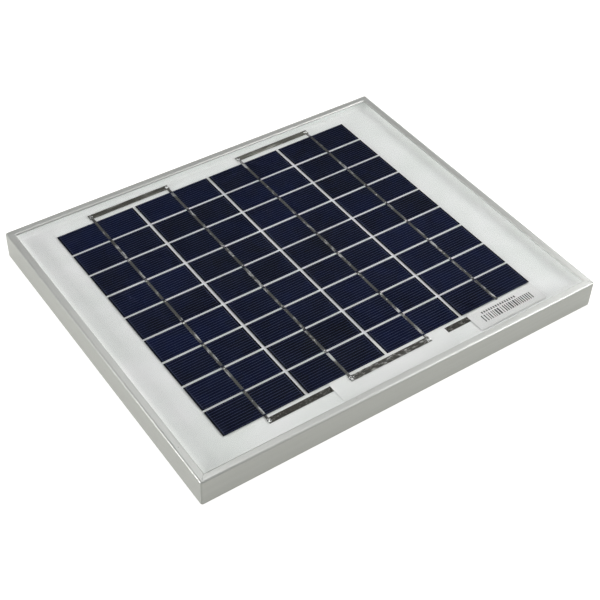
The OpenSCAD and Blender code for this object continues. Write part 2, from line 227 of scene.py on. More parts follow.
def loft(bm, rings, caps=True, index=0):
    """Joins closed rings of points, each a list of (x, y, z), into a skin."""
    verts = [[bm.verts.new(p) for p in ring] for ring in rings]
    count = len(rings[0])
    for a, b in zip(verts, verts[1:]):
        for i in range(count):
            j = (i + 1) % count
            bm.faces.new((a[i], a[j], b[j], b[i])).material_index = index
    if caps:
        bm.faces.new(list(reversed(verts[0]))).material_index = index
        bm.faces.new(verts[-1]).material_index = index
    return verts


def seated(point, seat):
    """A point in millimetres moved by a placement in metres."""
    return seat @ (Vector(point) * MM) / MM


def slab(bm, low, high, edge=0.0, corner=0.0, place_in=None, index=0, steps=4):
    """A plate with chamfered edges and, where corner isn't 0, rounded upright corners."""
    (x0, y0, z0), (x1, y1, z1) = low, high

    def ring(inset, z):
        r = max(corner - inset, 0.0)
        points = []
        for cx, cy, start in ((x1, y1, 0), (x0, y1, 90), (x0, y0, 180), (x1, y0, 270)):
            sx, sy = (1 if cx == x1 else -1), (1 if cy == y1 else -1)
            mx, my = cx - sx * (inset + r), cy - sy * (inset + r)
            for k in range(steps + 1 if corner else 1):
                a = radians(start + 90 * k / steps) if corner else 0
                points.append((mx + (r * cos(a) if corner else 0),
                               my + (r * sin(a) if corner else 0), z))
        return points

    levels = [(edge, z0), (0, z0 + edge), (0, z1 - edge), (edge, z1)] if edge else [(0, z0), (0, z1)]
    verts = loft(bm, [ring(*level) for level in levels], index=index)
    if place_in is not None:
        for row in verts:
            for v in row:
                v.co = seated(v.co, place_in)


def dome(bm, centre, radius, height, index=0, wobble=0.2, seed=0):
    """A drop of solder: a low, slightly uneven cap on a flat base."""
    draw = random.Random(seed)
    lobes = [draw.uniform(-wobble, wobble) for _ in range(3)]
    turns = [draw.uniform(0, 2 * pi) for _ in range(3)]
    count, rings = 20, []
    for lift, spread in ((0, 1.0), (0.35, 0.93), (0.7, 0.7), (0.93, 0.38)):
        ring = []
        for k in range(count):
            a = 2 * pi * k / count
            uneven = sum(w * cos((n + 2) * a + t) / 2 for n, (w, t) in enumerate(zip(lobes, turns)))
            r = radius * spread * (1 + uneven)
            ring.append((centre[0] + r * cos(a), centre[1] + r * sin(a), centre[2] + height * lift))
        rings.append(ring)
    verts = loft(bm, rings, index=index, caps=False)
    bm.faces.new(list(reversed(verts[0]))).material_index = index
    tip = bm.verts.new((centre[0], centre[1], centre[2] + height))
    for i in range(count):
        bm.faces.new((verts[-1][i], verts[-1][(i + 1) % count], tip)).material_index = index
    for v in [v for row in verts for v in row] + [tip]:
        v.co = seated(v.co, BLOCK)


def cad_shape(node):
    """A copy of a CAD node's mesh, in millimetres, with flat faces left whole."""
    bm = bmesh.new()
    bm.from_mesh(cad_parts[node].data)
    bmesh.ops.scale(bm, vec=(1 / MM, 1 / MM, 1 / MM), verts=bm.verts)
    bmesh.ops.remove_doubles(bm, verts=bm.verts, dist=0.002)
    bmesh.ops.dissolve_limit(bm, angle_limit=radians(1), verts=bm.verts, edges=bm.edges)
    return bm


def refined(node, slot, material, bevel, body="panel", steps=3):
    """The CAD node's shape with its edges rounded, as a piece of its own."""
    obj = make(node + "_finished", cad_shape(node), [material], body, slot, node)
    mod = obj.modifiers.new("edges", "BEVEL")
    mod.width = bevel * MM
    mod.segments = steps
    mod.limit_method = "ANGLE"
    mod.angle_limit = radians(SHARP)
    mod.harden_normals = True
    apply_modifiers(obj)


# ---------------------------------------------------------------- materials

def textured(name, dark, light, rough, metallic, grain, stretch=(1, 1, 1), relief=0.15, depth=0.03):
    """A surface whose colour, gloss and relief all vary at a fine and at a broad scale."""
    mat, tree = new_material(name)
    where = place(tree, stretch)
    fine = noise(tree, where, grain, 4.0, 0.6)
    wide = noise(tree, where, 60.0, 3.0)
    mixed = weighted(tree, (fine, 0.5), (wide, 0.5))
    colour = blend(tree, remap(tree, mixed, 0.35, 0.65, 0, 1), rgb(*dark), rgb(*light))
    gloss = spread(tree, weighted(tree, (wide, 0.6), (fine, 0.4)), *rough)
    output(tree, principled(tree, Base_Color=colour, Metallic=metallic, Roughness=gloss,
                            Normal=bump(tree, fine, relief, depth)))
    return mat


def aluminium(name, along):
    """Clear anodised extrusion: die lines along the rail, a fine etched grain and faint handling marks."""
    mat, tree = new_material(name)
    lines = (0.02, 1, 1) if along == "x" else (1, 0.02, 1)
    streaks = noise(tree, place(tree, lines), 2600.0, 3.0, 0.65)
    bands = noise(tree, place(tree, lines), 420.0, 2.0, 0.5)
    etched = noise(tree, place(tree), 5200.0, 2.0, 0.7)
    smudge = noise(tree, place(tree), 26.0, 4.0, 0.6)
    tone = remap(tree, weighted(tree, (streaks, 0.45), (bands, 0.55)), 0.38, 0.62, 0, 1)
    colour = blend(tree, tone, rgb(0.497, 0.505, 0.485), rgb(0.527, 0.535, 0.515))
    specks = remap(tree, noise(tree, place(tree), 700.0, 2.0, 0.5), 0.755, 0.775, 0, 1)
    colour = blend(tree, specks, colour, rgb(0.28, 0.27, 0.26))
    gloss = maths(tree, "ADD", spread(tree, smudge, 0.30, 0.34), spread(tree, etched, -0.01, 0.01))
    height = weighted(tree, (streaks, 0.6), (etched, 0.4))
    output(tree, principled(tree, Base_Color=colour, Metallic=0.45, Roughness=gloss,
                            Normal=bump(tree, height, 0.06, 0.006)))
    return mat


def clear_glass():
    """Float glass. Lamps and scattered light pass straight through it, so that the cells are lit."""
    mat, tree = new_material("glass_top")
    streak = spread(tree, noise(tree, place(tree, (1, 0.15, 1)), 18.0, 3.0), 0, 1)
    tint = blend(tree, streak, rgb(0.982, 0.986, 0.984), rgb(0.988, 0.99, 0.989))
    glass = add_node(tree, "ShaderNodeBsdfGlass", {"Color": tint, "Roughness": 0.0, "IOR": 1.5}).outputs[0]
    clear = add_node(tree, "ShaderNodeBsdfTransparent", {"Color": tint}).outputs[0]
    path = add_node(tree, "ShaderNodeLightPath")
    bounced = maths(tree, "MAXIMUM", path.outputs["Is Diffuse Ray"], path.outputs["Is Glossy Ray"])
    passes = maths(tree, "MAXIMUM", path.outputs["Is Shadow Ray"], bounced)
    output(tree, add_node(tree, "ShaderNodeMixShader", {0: passes, 1: glass, 2: clear}).outputs[0])
    return mat


def see_through(name, tint):
    """A bonded face or film: it has no gloss of its own, only a faint tint."""
    mat, tree = new_material(name)
    haze = spread(tree, noise(tree, place(tree), 35.0, 3.0), 0, 1)
    colour = blend(tree, haze, rgb(*tint), rgb(1, 1, 1))
    output(tree, add_node(tree, "ShaderNodeBsdfTransparent", {"Color": colour}).outputs[0])
    return mat


def silicon():
    """Blue polycrystalline silicon: grains of slightly different blue, a tint for each cell, dark rims."""
    mat, tree = new_material("silicon")
    where = place(tree)
    warp = add_node(tree, "ShaderNodeTexNoise", {"Vector": where, "Scale": 70.0, "Detail": 2.0})
    shift = add_node(tree, "ShaderNodeVectorMath", {0: warp.outputs["Color"], 1: (0.006, 0.006, 0.0)},
                     operation="MULTIPLY").outputs[0]
    bent = add_node(tree, "ShaderNodeVectorMath", {0: where, 1: shift}, operation="ADD").outputs[0]
    grains = add_node(tree, "ShaderNodeTexVoronoi", {"Vector": bent, "Scale": 170.0}, feature="F1")
    grain = add_node(tree, "ShaderNodeSeparateColor", {0: grains.outputs["Color"]})
    cast = add_node(tree, "ShaderNodeAttribute", attribute_name="tint")
    tint = add_node(tree, "ShaderNodeSeparateColor", {0: cast.outputs["Color"]})
    patch = spread(tree, noise(tree, where, 24.0, 2.0), 0, 1)
    blue = weighted(tree, (tint.outputs[0], 0.5), (patch, 0.35), (grain.outputs[0], 0.28))
    colour = blend(tree, remap(tree, blue, 0.1, 1.0, 0, 1),
                   rgb(0.0020, 0.0026, 0.0037), rgb(0.0022, 0.0052, 0.0255))
    spot = add_node(tree, "ShaderNodeUVMap", uv_map="cell").outputs[0]
    spot = add_node(tree, "ShaderNodeSeparateXYZ", {0: spot})
    side = maths(tree, "ABSOLUTE", maths(tree, "SUBTRACT", spot.outputs[0], 0.5))
    end = maths(tree, "ABSOLUTE", maths(tree, "SUBTRACT", spot.outputs[1], 0.5))
    rim = maths(tree, "MAXIMUM", remap(tree, side, 0.474, 0.478, 0, 1),
                remap(tree, end, 0.478, 0.488, 0, 1))
    colour = blend(tree, maths(tree, "MULTIPLY", rim, 0.75), colour, rgb(0.004, 0.0045, 0.0055))
    gloss = remap(tree, grain.outputs[1], 0, 1, 0.35, 0.45)
    height = maths(tree, "ADD", maths(tree, "MULTIPLY", grain.outputs[2], 0.4),
                   noise(tree, where, 2500.0, 3.0))
    output(tree, principled(tree, Base_Color=colour, Roughness=gloss, IOR=1.08,
                            Normal=bump(tree, height, 0.08, 0.01)))
    return mat


def solder_dipped(name, dull, bright, share, stretch, scale, drift=0.0):
    """Tinned ribbon: dull tin with pools where the solder ran, glossier and painted bright as glints, more
    in some stretches.
    """
    mat, tree = new_material(name)
    where = place(tree, stretch)
    pools = noise(tree, where, scale, 3.0, 0.6)
    specks = noise(tree, where, 1400.0, 2.0, 0.6)
    stretches = spread(tree, noise(tree, place(tree), 75.0, 2.0), -drift, drift)
    mixed = maths(tree, "ADD", weighted(tree, (pools, 0.75), (specks, 0.25)), stretches)
    # Painted glints: where the pools are, the colour turns bright as painted highlights, besides being
    # glossier
    painted_glint = remap(tree, mixed, share - 0.06, share + 0.06, 0, 1)
    colour = blend(tree, painted_glint, rgb(*dull), rgb(*bright))
    gloss = remap(tree, painted_glint, 0, 1, 0.6, 0.38)
    output(tree, principled(tree, Base_Color=colour, Metallic=0.6, Roughness=gloss,
                            Normal=bump(tree, maths(tree, "ADD", pools, specks), 0.35, 0.06)))
    return mat


WHITER_INSET_X, WHITER_INSET_Y = 3.1, 8.0  # the area painted lighter against the shade in the gaps between the cells, in from the outline of all cells
GLOW, GLOW_REACH, GLOW_UNDER = 0.24, 4.0, 1.0  # painted glow that lightens the lip's shadow: strength, reach inside the lip, reach under it


def white_sheet():
    """Backsheet: even white with a faint mottle and weave, and on its upper face a whiter tone painted
    between the cells as painted light against the shade in the gaps.

    It has a faint painted glow next to the lip: an emission that lightens the lip's shadow, standing in for
    the light that the glass guides there.
    """
    mat, tree = new_material("sheet_white")
    mat.cycles.emission_sampling = "NONE"
    where = place(tree)
    mottle = spread(tree, noise(tree, where, 45.0, 4.0), 0, 1)
    weave = noise(tree, where, 1500.0, 2.0)
    colour = blend(tree, mottle, rgb(0.805, 0.807, 0.805), rgb(0.82, 0.822, 0.82))
    x, y, _ = axes(tree, "Object")
    half_x, half_y = BLOCK_W / 2 - WHITER_INSET_X, BLOCK_L / 2 - WHITER_INSET_Y
    between_x = maths(tree, "LESS_THAN", off_centre(tree, x, BLOCK_X), half_x * MM)
    between_y = maths(tree, "LESS_THAN", off_centre(tree, y, BLOCK_Y), half_y * MM)
    upper = maths(tree, "GREATER_THAN", axes(tree, "Normal")[2], 0.5)
    between = maths(tree, "MULTIPLY", maths(tree, "MULTIPLY", between_x, between_y), upper)
    # Painted light: between the cells the upper face is a lighter, bluish white, to lift the shade the
    # cells cast into the gaps
    colour = blend(tree, between, colour, rgb(0.90, 0.895, 0.93))
    # Painted glow: the sheet emits light from a little inside the lip to under it, to lighten the shadow
    # the lip casts there
    under_x = maths(tree, "SUBTRACT", maths(tree, "ABSOLUTE", x), (FRAME_W / 2 - LIP_W) * MM)
    under_y = maths(tree, "SUBTRACT", maths(tree, "ABSOLUTE", y), (FRAME_L / 2 - LIP_W) * MM)
    under = maths(tree, "MAXIMUM", under_x, under_y)
    painted_lip_glow = remap(tree, under, -GLOW_REACH * MM, GLOW_UNDER * MM, 0, GLOW)
    gloss = spread(tree, weave, 0.55, 0.65)
    output(tree, principled(tree, Base_Color=colour, Roughness=gloss, IOR=1.15,
                            Emission_Color=rgb(0.97, 1, 0.98), Emission_Strength=painted_lip_glow,
                            Normal=bump(tree, weave, 0.02, 0.002)))
    return mat


DIODE_BAND, DIODE_HALF = (1.3, 2.1), 2.62  # pale band and end of the body, along X from the middle


def diode_black():
    """Moulded black epoxy with a pale band at one end, and tinned leads."""
    mat, tree = new_material("epoxy")
    low, high = node_box("bypass_diode")
    off = maths(tree, "SUBTRACT", axes(tree, "Object")[0], (low.x + high.x) / 2 * MM)
    band = maths(tree, "MULTIPLY", maths(tree, "GREATER_THAN", off, DIODE_BAND[0] * MM),
                 maths(tree, "LESS_THAN", off, DIODE_BAND[1] * MM))
    lead = maths(tree, "GREATER_THAN", maths(tree, "ABSOLUTE", off), DIODE_HALF * MM)
    grit = noise(tree, place(tree), 2200.0, 3.0)
    black = blend(tree, grit, rgb(0.012, 0.012, 0.013), rgb(0.03, 0.03, 0.032))
    colour = blend(tree, band, black, rgb(0.55, 0.55, 0.56))
    colour = blend(tree, lead, colour, rgb(0.62, 0.61, 0.58))
    metal = maths(tree, "MULTIPLY", lead, 0.9)
    gloss = spread(tree, grit, 0.35, 0.5)
    output(tree, principled(tree, Base_Color=colour, Metallic=metal, Roughness=gloss,
                            Normal=bump(tree, grit, 0.2, 0.02)))
    return mat


ALU_X = aluminium("anodised_x", "x")
ALU_Y = aluminium("anodised_y", "y")
# textured takes: name, darkest and lightest colour, range of roughness, metallic, grain
KEY = textured("key_casting", (0.36, 0.36, 0.36), (0.5, 0.5, 0.49), (0.42, 0.6), 0.9, 900.0, relief=0.3)
SEALANT = textured("silicone_white", (0.78, 0.78, 0.77), (0.84, 0.84, 0.83), (0.35, 0.5), 0.0, 300.0,
                   relief=0.25)
GLASS = clear_glass()
BONDED = see_through("glass_bonded", (0.993, 0.996, 0.994))
FILM = see_through("film_clear", (0.988, 0.991, 0.988))
SILICON = silicon()
PASTE = textured("silver_paste", (0.024, 0.030, 0.080), (0.038, 0.048, 0.118), (0.45, 0.55), 0.2, 1500.0)
# solder_dipped takes: name, dull colour and the painted glint colour, dull share, stretch, scale, drift
TAB = solder_dipped("tab_tin", (0.074, 0.074, 0.069), (0.42, 0.42, 0.42), 0.58, (1, 0.3, 1), 420.0, 0.09)
RIBBON = solder_dipped("ribbon_tin", (0.050, 0.048, 0.042), (0.36, 0.355, 0.34), 0.57,
                       (0.4, 1, 1), 620.0, 0.03)
# A darker and a lighter copy of one tinned ribbon for the far ribbons: painted shade on the left one and
# painted light on the right one
RIBBON_PAINTED_SHADE = solder_dipped("ribbon_painted_shade", (0.070, 0.068, 0.058), (0.16, 0.158, 0.14), 0.57,
                            (0.2, 1, 1), 260.0)
RIBBON_PAINTED_LIGHT = solder_dipped("ribbon_painted_light", (0.115, 0.112, 0.097), (0.22, 0.218, 0.195), 0.57,
                            (0.2, 1, 1), 260.0)
EXIT = solder_dipped("exit_tin", (0.036, 0.034, 0.029), (0.17, 0.165, 0.155), 0.60, (1, 1, 1), 700.0)
SOLDER = solder_dipped("solder_drop", (0.035, 0.035, 0.032), (0.85, 0.85, 0.84), 0.50, (1, 1, 1), 900.0)
STRIP = textured("strip_white", (0.725, 0.727, 0.722), (0.76, 0.762, 0.757), (0.4, 0.5), 0.0, 600.0,
                 relief=0.06)
LABEL = textured("label_paper", (0.665, 0.665, 0.66), (0.70, 0.70, 0.695), (0.42, 0.52), 0.0, 1300.0,
                 relief=0.06)
INK = textured("label_ink", (0.012, 0.012, 0.013), (0.025, 0.025, 0.026), (0.4, 0.55), 0.0, 1800.0,
               relief=0.05)
RATING = textured("rating_paper", (0.62, 0.63, 0.63), (0.70, 0.705, 0.70), (0.3, 0.42), 0.0, 1300.0,
                  relief=0.06)
SHEET = white_sheet()
PLASTIC = textured("box_plastic", (0.014, 0.014, 0.015), (0.028, 0.028, 0.03), (0.42, 0.58), 0.0, 2600.0,
                   relief=0.45, depth=0.05)
RUBBER = textured("rubber", (0.010, 0.010, 0.010), (0.022, 0.022, 0.022), (0.62, 0.8), 0.0, 1500.0,
                  relief=0.3)
STEEL = textured("pin_steel", (0.42, 0.42, 0.43), (0.58, 0.58, 0.59), (0.2, 0.34), 1.0, 900.0,
                 stretch=(0.03, 1, 1))
BRASS = textured("terminal_brass", (0.50, 0.36, 0.15), (0.66, 0.50, 0.24), (0.24, 0.38), 1.0, 800.0,
                 stretch=(1, 0.1, 1))
ZINC = textured("screw_zinc", (0.50, 0.52, 0.54), (0.66, 0.67, 0.70), (0.25, 0.4), 1.0, 1200.0)
ADHESIVE = textured("adhesive_bead", (0.05, 0.05, 0.05), (0.09, 0.09, 0.09), (0.5, 0.65), 0.0, 500.0,
                    relief=0.3)
EPOXY = diode_black()


# ---------------------------------------------------------------- frame rails

EDGE_R, LIP_EDGE_R = 1.3, 0.9  # outer and inner top edge
WALL, LIP_T = 1.4, 1.2
# The shelf that carries the laminate, the closed chamber under it and the flange at the bottom
SHELF_TOP, SHELF_BOTTOM, SHELF_W = SHEET_LOW.z - 0.3, SHEET_LOW.z - 1.5, 8.2
CHAMBER_IN, FLANGE_W, FLANGE_T = 7.0, 18.0, 1.3
# Corners of the sections as (in from the outer face, height, radius)
OUTER_SECTION = [
    (0, 0, 0.6), (FLANGE_W, 0, 0.35), (FLANGE_W, FLANGE_T, 0.35), (SHELF_W, FLANGE_T, 0.5),
    (SHELF_W, SHELF_TOP, 0.3), (WALL, SHELF_TOP, 0), (WALL, FRAME_H - LIP_T, 0),
    (LIP_W, FRAME_H - LIP_T, 0.25), (LIP_W, FRAME_H, LIP_EDGE_R), (0, FRAME_H, EDGE_R),
]
CHAMBER_SECTION = [
    (WALL, FLANGE_T, 0.3), (WALL, SHELF_BOTTOM, 0.3),
    (CHAMBER_IN, SHELF_BOTTOM, 0.3), (CHAMBER_IN, FLANGE_T, 0.3),
]
CRISP = 0.04  # points this far past each arc keep the shading of the flat faces flat
MITRE_GAP, MITRE_CHAMFER = 0.025, 0.09
# Rings of points along a rail's end, where its outer top edge turns the corner
MITRE_STEPS = [MITRE_GAP, MITRE_GAP + MITRE_CHAMFER] + [0.1 + 0.12 * k for k in range(1, 9)]
# Mounting holes in the near and far flange; their edges are broken
HOLE_X, HOLE_INSET, HOLE_R, HOLE_BREAK = 90.0, 13.0, 2.75, 0.2


def rounded_section(corners, steps=6):
    """Points round a section, with each corner rounded by its radius."""
    points = []
    for i, (u, z, r) in enumerate(corners):
        here = Vector((u, z))
        if not r:
            points.append(here)
            continue
        before = (Vector(corners[i - 1][:2]) - here).normalized()
        after = (Vector(corners[(i + 1) % len(corners)][:2]) - here).normalized()
        half = before.angle(after) / 2
        centre = here + (before + after).normalized() * (r / sin(half))
        start = here + before * (r / tan(half)) - centre
        stop = here + after * (r / tan(half)) - centre
        sweep = atan2(start.x * stop.y - start.y * stop.x, start.dot(stop))
        points.append(centre + start + before * CRISP)
        for k in range(steps + 1):
            points.append(centre + Matrix.Rotation(sweep * k / steps, 2) @ start)
        points.append(centre + stop + after * CRISP)
    return points


def shrunk(points, amount):
    """The section moved inward by a small amount, the inside being on the left of its outline."""
    moved = []
    for i, p in enumerate(points):
        a, b = p - points[i - 1], points[(i + 1) % len(points)] - p
        left = Vector((-a.y, a.x)).normalized() + Vector((-b.y, b.x)).normalized()
        moved.append(p + left.normalized() * amount)
    return moved


def beside_mitre(u, t):
    """Where a point u in from the outer face and t along from the mitre lies.

    The result is (along, in), both from the frame's corner.
    """
    if u >= EDGE_R:
        return u + t, u
    r = EDGE_R - u
    arc = r * pi / 4
    if t >= arc:
        return EDGE_R + t - arc, u
    a = pi / 4 - t / r
    return EDGE_R - r * sin(a), EDGE_R - r * cos(a)


def rail(name, length, offset, turn, material, holes=False):
    """A mitred rail along X at the near side, turned into place."""
    bm = bmesh.new()
    loops = [rounded_section(OUTER_SECTION), rounded_section(CHAMBER_SECTION)]
    end_edges = [[], []]
    for loop in loops:
        # Rings of points from one mitre to the other
        stations = []
        for side in (-1, 1):
            half = []
            for k, t in enumerate(MITRE_STEPS):
                ring = []
                for p in (shrunk(loop, MITRE_CHAMFER) if k == 0 else loop):
                    along, inward = beside_mitre(p.x, t)
                    ring.append(bm.verts.new((side * (length / 2 - along), inward - offset, p.y)))
                half.append(ring)
            stations += half if side < 0 else list(reversed(half))
        count = len(loop)
        for a, b in zip(stations, stations[1:]):
            for i in range(count):
                bm.faces.new((a[i], a[(i + 1) % count], b[(i + 1) % count], b[i]))
        # Both mitre faces are filled later, between outline and chamber
        for k, ring in enumerate((stations[0], stations[-1])):
            end_edges[k] += [bm.edges.get((ring[i], ring[(i + 1) % count])) for i in range(count)]
    for edges in end_edges:
        bmesh.ops.triangle_fill(bm, use_beauty=True, use_dissolve=False, edges=edges)
    bmesh.ops.recalc_face_normals(bm, faces=bm.faces)
    bmesh.ops.rotate(bm, verts=bm.verts, cent=(0, 0, 0), matrix=Matrix.Rotation(turn, 3, "Z"))
    obj = make(name + "_extrusion", bm, [material], "panel", "frame_aluminium", name)
    if holes:
        spin = Matrix.Rotation(turn, 3, "Z")
        drill(obj, [spin @ Vector((x, HOLE_INSET - offset, 0)) for x in (-HOLE_X, HOLE_X)])
        shade(obj)


def drill(obj, places):
    """Cuts a mounting hole with broken edges through the flange at each place."""
    bm = bmesh.new()
    sides = 48
    turns = [2 * pi * k / sides for k in range(sides)]
    levels = ((-HOLE_BREAK, HOLE_R + 2 * HOLE_BREAK), (HOLE_BREAK, HOLE_R),
              (FLANGE_T - HOLE_BREAK, HOLE_R), (FLANGE_T + HOLE_BREAK, HOLE_R + 2 * HOLE_BREAK))
    for at in places:
        loft(bm, [[(at.x + r * cos(a), at.y + r * sin(a), z) for a in turns] for z, r in levels])
    bmesh.ops.scale(bm, vec=(MM, MM, MM), verts=bm.verts)
    bmesh.ops.recalc_face_normals(bm, faces=bm.faces)
    mesh = bpy.data.meshes.new("drill")
    bm.to_mesh(mesh)
    bm.free()
    cutter = bpy.data.objects.new("drill", mesh)
    bpy.context.scene.collection.objects.link(cutter)
    mod = obj.modifiers.new("holes", "BOOLEAN")
    mod.operation = "DIFFERENCE"
    mod.solver = "EXACT"
    mod.object = cutter
    apply_modifiers(obj)
    bpy.data.objects.remove(cutter)


def build_frame():
    """Four rails, the corner keys in their chambers and the seal round the laminate."""
    rail("rail_near", FRAME_W, FRAME_L / 2, 0, ALU_X, holes=True)
    rail("rail_far", FRAME_W, FRAME_L / 2, pi, ALU_X, holes=True)
    rail("rail_left", FRAME_L, FRAME_W / 2, -pi / 2, ALU_Y)
    rail("rail_right", FRAME_L, FRAME_W / 2, pi / 2, ALU_Y)
    for name in ("near_left", "near_right", "far_left", "far_right"):
        refined("corner_key_" + name, "key_aluminium", KEY, 0.4)
    refined("edge_seal", "seal_silicone", SEALANT, 0.08)


# ---------------------------------------------------------------- laminate

def build_glass():
    """The pane; its lowest face is bonded to the film and refracts nothing."""
    bm = bmesh.new()
    slab(bm, GLASS_LOW, GLASS_HIGH, edge=0.35, corner=0.8)
    bm.faces.ensure_lookup_table()
    min(bm.faces, key=lambda f: f.calc_center_median().z).material_index = 1
    make("glass_pane", bm, [GLASS, BONDED], "panel", "clear_glass", "front_glass")


FILM_CLEAR, FILM_OVER_TAB, REAR_FILM_T = 0.02, 0.12, 0.06


def build_films():
    """Thin clear slabs, one between tabs and glass and one on the backsheet."""
    levels = {
        "front": (TAB_TOP + FILM_OVER_TAB, GLASS_LOW.z - FILM_CLEAR),
        "rear": (SHEET_HIGH.z + FILM_CLEAR, SHEET_HIGH.z + FILM_CLEAR + REAR_FILM_T),
    }
    for side, (z0, z1) in levels.items():
        name, node = side + "_film", side + "_encapsulant"
        low, high = node_box(node)
        bm = bmesh.new()
        slab(bm, (low.x, low.y, z0), (high.x, high.y, z1), corner=0.6)
        make(name, bm, [FILM], "panel", "clear_film", node)


def build_backsheet():
    """The white sheet under everything, with the shape that the CAD gives it."""
    make("backsheet_film", cad_shape("backsheet"), [SHEET], "panel", "backsheet_white", "backsheet")


# ---------------------------------------------------------------- cells and ribbons

FINGER_PITCH, FINGER_W, FINGER_T = 1.8, 0.22, 0.015
PRINT_W, PRINT_L, PRINT_SUNK = 49.4, 18.0, 0.01
FINGERS = round(PRINT_L / FINGER_PITCH) + 1


def build_cells(index):
    """Nine cells with their printed fingers and the line that closes the fingers at both sides."""
    bm = bmesh.new()
    tint = bm.loops.layers.float_color.new("tint")
    spot = bm.loops.layers.uv.new("cell")
    for j in range(ROWS):
        x, y = string_x(index), row_y(j)
        cast = (rng.random(), rng.random(), rng.random(), 1)
        before = set(bm.faces)
        jog, tilt = rng.uniform(-0.06, 0.06), rng.uniform(-0.0012, 0.0012)
        seat = BLOCK @ Matrix.Translation((x * MM, (y + jog) * MM, 0)) @ Matrix.Rotation(tilt, 4, "Z")
        slab(bm, (-CELL_W / 2, -CELL_L / 2, CELL_BOTTOM), (CELL_W / 2, CELL_L / 2, CELL_TOP),
             edge=0.03, corner=0.1, place_in=seat)
        for k in range(FINGERS):
            at = (k - (FINGERS - 1) / 2) * FINGER_PITCH
            slab(bm, (-PRINT_W / 2, at - FINGER_W / 2, CELL_TOP - PRINT_SUNK),
                 (PRINT_W / 2, at + FINGER_W / 2, CELL_TOP + FINGER_T), place_in=seat, index=1)
        for at in (-PRINT_W / 2, PRINT_W / 2):
            slab(bm, (at - FINGER_W / 2, -PRINT_L / 2, CELL_TOP - PRINT_SUNK),
                 (at + FINGER_W / 2, PRINT_L / 2, CELL_TOP + FINGER_T + 0.002), place_in=seat, index=1)
        back = seat.inverted()
        for face in bm.faces:
            if face in before:
                continue
            for loop in face.loops:
                loop[tint] = cast
                local = seated(loop.vert.co, back)
                loop[spot].uv = (local.x / CELL_W + 0.5, local.y / CELL_L + 0.5)
    make(f"cells_{index + 1}", bm, [SILICON, PASTE], "panel", "silicon_cell", STRINGS[index])


FRONT_INSET, BACK_INSET = 1.0, 1.5  # from a cell's edge to a tab's end, above and below
BUS_MARGIN, BUS_OVER = 0.4, 1.3  # a tab's end inside the cross ribbon, a ribbon's end past the tab
TAB_FLAT, BUS_FLAT = 0.86, 0.9  # flat share of the width
DROP_SUNK = 0.01
EDGE_CLEAR, POINT_STEP = 0.1, 2.2  # from a cell's edge to the first point of a step, and between points


def strip_path(bm, x, points):
    """A tab along Y through (y, z of its middle, sideways shift, width factor) points."""
    rings = []
    for y, z, shift, factor in points:
        w, t, c = TAB_W * factor / 2, TAB_T / 2, x + shift
        flat = w * TAB_FLAT
        outline = ((-w, -t / 2), (-w, t / 2), (-flat, t), (flat, t),
                   (w, t / 2), (w, -t / 2), (flat, -t), (-flat, -t))
        rings.append([seated((c + across, y, z + up), BLOCK) for across, up in outline])
    loft(bm, rings)


# How a tab steps down in the gap between cells: share of the gap, share of the drop, width factor
STEP_DOWN = ((0.15, 0.0, 1.06), (0.35, 0.2, 0.95), (0.5, 0.5, 0.9), (0.65, 0.8, 0.95), (0.85, 1.0, 1.05))


